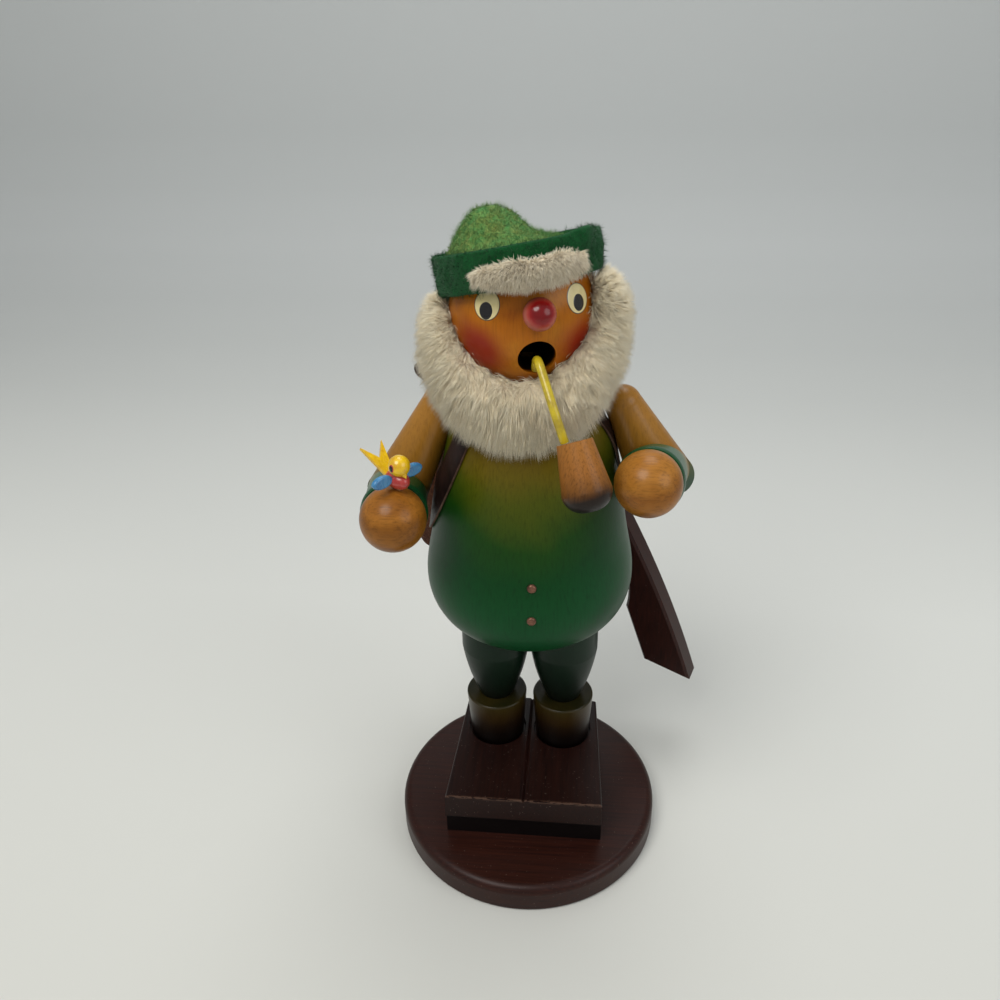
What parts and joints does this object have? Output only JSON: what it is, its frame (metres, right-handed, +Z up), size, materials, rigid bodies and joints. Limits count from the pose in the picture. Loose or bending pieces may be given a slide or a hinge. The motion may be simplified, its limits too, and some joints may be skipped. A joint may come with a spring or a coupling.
{
  "type": "german incense smoker",
  "caption": "Turned wooden incense smoker: a bearded huntsman with hat, pipe, bird and slung gun; the hollow coat lifts off its base over an incense plate.",
  "frame": {"origin": "middle of the base disc's underside, on the table", "axes": "+X towards the figure's left hand, -Y the way the figure faces, +Z up"},
  "size_m": [0.1014, 0.1046, 0.1894],
  "materials": {
    "base_stain": "satin",
    "shoe_stain": "satin",
    "boot_paint": "satin",
    "leg_paint": "satin",
    "plain_wood": "satin",
    "coat_paint": "satin",
    "face_paint": "satin",
    "nose_paint": "gloss",
    "arm_paint": "satin",
    "hand_wood": "satin",
    "bowl_wood": "satin",
    "stem_paint": "gloss",
    "bird_yellow": "gloss",
    "bird_red": "gloss",
    "bird_blue": "gloss",
    "fur": "matte",
    "felt": "matte",
    "strap_leather": "satin",
    "bag_leather": "matte",
    "gun_stain": "satin",
    "button_brass": "satin",
    "tin": "satin"
  },
  "bodies": {
    "base": {"base_disc": "base_stain", "right_shoe": "shoe_stain", "left_shoe": "shoe_stain", "right_boot": "boot_paint", "left_boot": "boot_paint", "right_leg": "leg_paint", "left_leg": "leg_paint", "hip_plug": "plain_wood", "plate_nail": "tin"},
    "plate": {"incense_plate": "tin"},
    "coat": {"coat_body": "coat_paint", "coat_buttons": "button_brass", "head": "face_paint", "nose": "nose_paint", "beard": "fur", "back_hair": "fur", "hair_fringe": "fur", "hat": "felt", "right_upper_arm": "arm_paint", "left_upper_arm": "arm_paint", "right_sleeve": "arm_paint", "left_sleeve": "arm_paint", "right_hand": "hand_wood", "left_hand": "hand_wood", "bird_body": "bird_red", "bird_head": "bird_yellow", "bird_wings": "bird_blue", "bird_tail": "bird_yellow", "bird_peg": "plain_wood", "pipe_stem": "stem_paint", "pipe_bowl": "bowl_wood", "right_strap": "strap_leather", "left_strap": "strap_leather", "rucksack_body": "bag_leather", "rucksack_flap": "bag_leather", "rifle_stock": "gun_stain", "rifle_barrel": "gun_stain", "rifle_sling": "strap_leather"}
  },
  "joints": [
    {"name": "coat_turn", "type": "hinge", "parent": "base", "child": "plate", "pos_m": [0, 0.0095, 0.0792], "axis": [0, 0, 1], "continuous": true},
    {"name": "coat_lift", "type": "slide", "parent": "plate", "child": "coat", "axis": [0, 0, 1], "range_m": [0, 0.06]}
  ]
}
